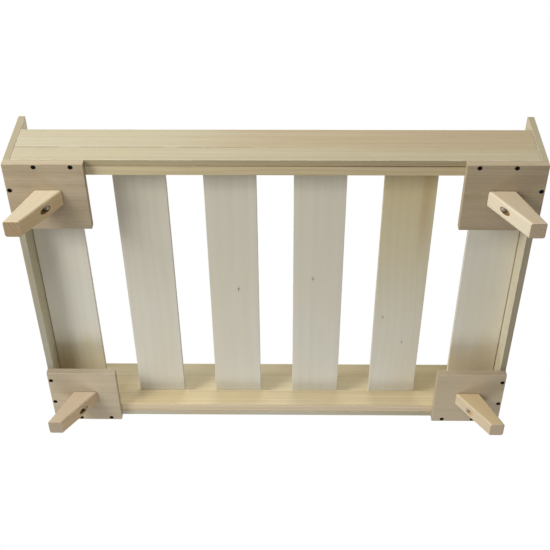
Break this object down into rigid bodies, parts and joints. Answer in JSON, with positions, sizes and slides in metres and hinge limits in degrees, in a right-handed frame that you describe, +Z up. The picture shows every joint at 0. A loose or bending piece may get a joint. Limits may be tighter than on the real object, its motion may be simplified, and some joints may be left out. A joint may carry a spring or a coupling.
{
  "type": "pet bed frame",
  "caption": "Low rectangular wooden bed frame with a slatted base, raised back and end boards, square corner plates and splayed tapered legs, to hold a cushion.",
  "frame": {"origin": "on the floor, under the middle of the frame", "axes": "+X along the length to the right end board, +Y from the low front to the back, +Z up"},
  "size_m": [0.9, 0.63, 0.2313],
  "materials": {
    "board_wood": "planed, unfinished pale softwood with fine grain along the board",
    "slat_wood": "planed, unfinished pale grey-beige wood, few pin knots",
    "plate_wood": "planed, unfinished tan wood, grain along X",
    "leg_wood": "sanded, unfinished cream wood with eased edges",
    "dowel_wood": "plain beech dowel",
    "black_screw": "black phosphate",
    "zinc_screw": "bright zinc plate"
  },
  "bodies": {
    "root": {"front_rail": "board_wood", "back_rail": "board_wood", "side_panel_left": "board_wood", "side_panel_right": "board_wood", "front_ledger": "board_wood", "back_ledger": "board_wood", "slat_1": "slat_wood", "slat_2": "slat_wood", "slat_3": "slat_wood", "slat_4": "slat_wood", "slat_5": "slat_wood", "slat_6": "slat_wood", "corner_plate_front_left": "plate_wood", "leg_front_left": "leg_wood", "leg_screw_front_left": "zinc_screw", "plate_screw_front_left_1": "black_screw", "plate_screw_front_left_2": "black_screw", "plate_screw_front_left_3": "black_screw", "plate_screw_front_left_4": "black_screw", "rail_dowel_front_left_lower": "dowel_wood", "rail_dowel_front_left_upper": "dowel_wood", "corner_plate_front_right": "plate_wood", "leg_front_right": "leg_wood", "leg_screw_front_right": "zinc_screw", "plate_screw_front_right_1": "black_screw", "plate_screw_front_right_2": "black_screw", "plate_screw_front_right_3": "black_screw", "plate_screw_front_right_4": "black_screw", "rail_dowel_front_right_lower": "dowel_wood", "rail_dowel_front_right_upper": "dowel_wood", "corner_plate_back_left": "plate_wood", "leg_back_left": "leg_wood", "leg_screw_back_left": "zinc_screw", "plate_screw_back_left_1": "black_screw", "plate_screw_back_left_2": "black_screw", "plate_screw_back_left_3": "black_screw", "plate_screw_back_left_4": "black_screw", "rail_dowel_back_left_lower": "dowel_wood", "rail_dowel_back_left_upper": "dowel_wood", "corner_plate_back_right": "plate_wood", "leg_back_right": "leg_wood", "leg_screw_back_right": "zinc_screw", "plate_screw_back_right_1": "black_screw", "plate_screw_back_right_2": "black_screw", "plate_screw_back_right_3": "black_screw", "plate_screw_back_right_4": "black_screw", "rail_dowel_back_right_lower": "dowel_wood", "rail_dowel_back_right_upper": "dowel_wood", "slat_screw_1_front": "zinc_screw", "slat_screw_1_back": "zinc_screw", "slat_screw_2_front": "zinc_screw", "slat_screw_2_back": "zinc_screw", "slat_screw_3_front": "zinc_screw", "slat_screw_3_back": "zinc_screw", "slat_screw_4_front": "zinc_screw", "slat_screw_4_back": "zinc_screw", "slat_screw_5_front": "zinc_screw", "slat_screw_5_back": "zinc_screw", "slat_screw_6_front": "zinc_screw", "slat_screw_6_back": "zinc_screw"}
  },
  "joints": []
}
